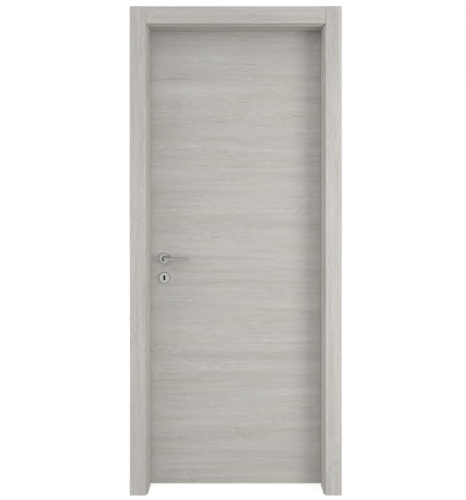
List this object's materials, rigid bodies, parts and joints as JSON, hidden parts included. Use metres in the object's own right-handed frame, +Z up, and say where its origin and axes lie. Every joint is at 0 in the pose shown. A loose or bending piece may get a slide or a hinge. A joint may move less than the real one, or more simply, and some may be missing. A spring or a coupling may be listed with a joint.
{
  "type": "interior hinged door with frame",
  "caption": "Flush hinged door leaf with horizontal wood grain in a rebated frame with flat casings, with lever handle, round roses and keyhole, opened to let people through a wall.",
  "frame": {"origin": "floor level on the wall face of the hinge-side jamb, half way through the jamb's depth", "axes": "+Z up; +Y from the push side through the door to the pull side, the way the leaf opens; +X from the lock side to the hinge side, out of the hinge-side jamb's wall face"},
  "size_m": [0.979, 0.171, 2.2045],
  "materials": {
    "frame_laminate": "matt grey oak laminate",
    "leaf_laminate": "matt grey oak laminate, grain across the leaf",
    "leaf_edge": "edge band over softwood stiles",
    "seal_rubber": "matt soft rubber",
    "satin_nickel": "satin nickel plate",
    "hinge_nickel": "satin nickel plate",
    "lock_steel": "zinc plated steel"
  },
  "bodies": {
    "frame": {"jamb_hinge_side": "frame_laminate", "jamb_lock_side": "frame_laminate", "stop_hinge_side": "frame_laminate", "stop_lock_side": "frame_laminate", "casing_front_hinge_side": "frame_laminate", "casing_front_lock_side": "frame_laminate", "casing_back_hinge_side": "frame_laminate", "casing_back_lock_side": "frame_laminate", "jamb_head": "frame_laminate", "stop_head": "frame_laminate", "casing_front_head": "frame_laminate", "casing_back_head": "frame_laminate", "seal_hinge_side": "seal_rubber", "seal_lock_side": "seal_rubber", "seal_head": "seal_rubber", "strike_plate": "lock_steel", "hinge_upper_frame_half": "hinge_nickel", "hinge_middle_frame_half": "hinge_nickel", "hinge_lower_frame_half": "hinge_nickel"},
    "leaf": {"leaf_front_skin": "leaf_laminate", "leaf_back_skin": "leaf_laminate", "leaf_hinge_stile": "leaf_edge", "leaf_lock_stile": "leaf_edge", "leaf_top_rail": "leaf_edge", "leaf_bottom_rail": "leaf_edge", "lock_case": "lock_steel", "lock_forend": "lock_steel", "latch_bolt": "lock_steel", "dead_bolt": "lock_steel", "rose_front": "satin_nickel", "rose_back": "satin_nickel", "key_rose_front": "satin_nickel", "key_rose_back": "satin_nickel", "hinge_upper_leaf_half": "hinge_nickel", "hinge_middle_leaf_half": "hinge_nickel", "hinge_lower_leaf_half": "hinge_nickel"},
    "handle": {"lever_front": "satin_nickel", "lever_back": "satin_nickel", "spindle": "lock_steel", "lock_follower": "lock_steel"}
  },
  "joints": [
    {"name": "leaf_swing", "type": "hinge", "parent": "frame", "child": "leaf", "pos_m": [-0.02875, 0.066, 1], "axis": [0, 0, -1], "range_deg": [0, 170]},
    {"name": "lever_turn", "type": "hinge", "parent": "leaf", "child": "handle", "pos_m": [-0.766, 0.0375, 1.052], "axis": [0, 1, 0], "range_deg": [0, 40], "stiffness_Nm_per_rad": 1.2, "springref_deg": -28.65}
  ]
}
